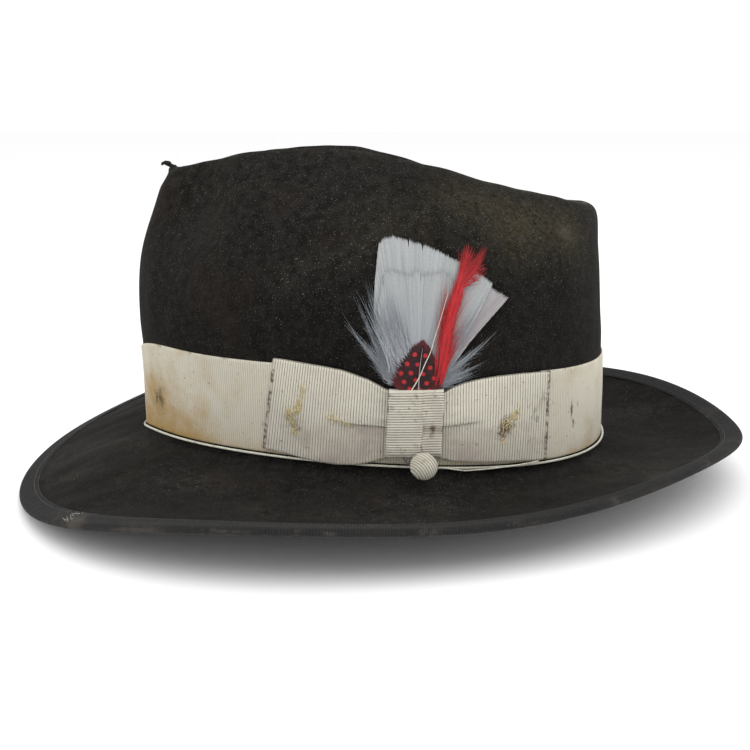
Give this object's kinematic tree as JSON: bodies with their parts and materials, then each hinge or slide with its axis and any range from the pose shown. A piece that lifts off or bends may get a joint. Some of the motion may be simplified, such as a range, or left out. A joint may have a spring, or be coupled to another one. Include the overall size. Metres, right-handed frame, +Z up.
{
  "type": "felt fedora hat",
  "caption": "Black felt fedora with a creased teardrop crown, bound snap brim, cream ribbon band with a flat bow, feather mount and a covered trolley button.",
  "frame": {"origin": "bottom centre of the hat's box, on the surface below the lowest point of the front brim", "axes": "+X towards the rear of the hat, -X towards the snapped-down front, -Y towards the wearer's left with the bow and feathers, +Z up through the crown"},
  "size_m": [0.3196, 0.2883, 0.144],
  "materials": {
    "felt": "dense black wool felt, dusty",
    "binding": "grosgrain ribbon, fine ribs across",
    "ribbon": "cream grosgrain, fine vertical ribs, aged and stained",
    "cord": "thin elastic cord",
    "button": "grosgrain covered button",
    "mould": "plain moulded button form",
    "metal": "bent wire",
    "quill": "keratin stems",
    "grey_feather": "soft feather barbs",
    "guinea": "dark feather with red spots",
    "red_feather": "dyed hackle barbs",
    "thread": "wound thread",
    "leather": "brown sweatband leather, worn",
    "tape": "narrow ribbon",
    "lining": "satin lining"
  },
  "bodies": {
    "hat": {"felt_body": "felt", "brim_binding": "binding", "hatband_ribbon": "ribbon", "bow_front_wing": "ribbon", "bow_rear_wing": "ribbon", "bow_knot": "ribbon", "bow_knot_fold": "ribbon", "trolley_cord": "cord", "sweatband": "leather", "reed_tape": "tape", "lining_side": "lining", "lining_tip": "lining", "sweat_bow": "tape"},
    "feathers": {"feather_quills": "quill", "feather_pad_back": "grey_feather", "feather_pad_front": "grey_feather", "fluff_front": "grey_feather", "fluff_rear": "grey_feather", "guinea_feather": "guinea", "red_hackle": "red_feather", "feather_binding": "thread"},
    "button": {"button_cover": "button", "button_mould": "mould", "button_shank": "metal"}
  },
  "joints": [
    {"name": "feather_lift", "type": "slide", "parent": "hat", "child": "feathers", "axis": [0, 0.018, 0.9998], "range_m": [0, 0.03]},
    {"name": "button_flop", "type": "hinge", "parent": "hat", "child": "button", "pos_m": [0.01712, -0.0929, 0.03448], "axis": [-1, 0, 0], "range_deg": [0, 60]}
  ]
}
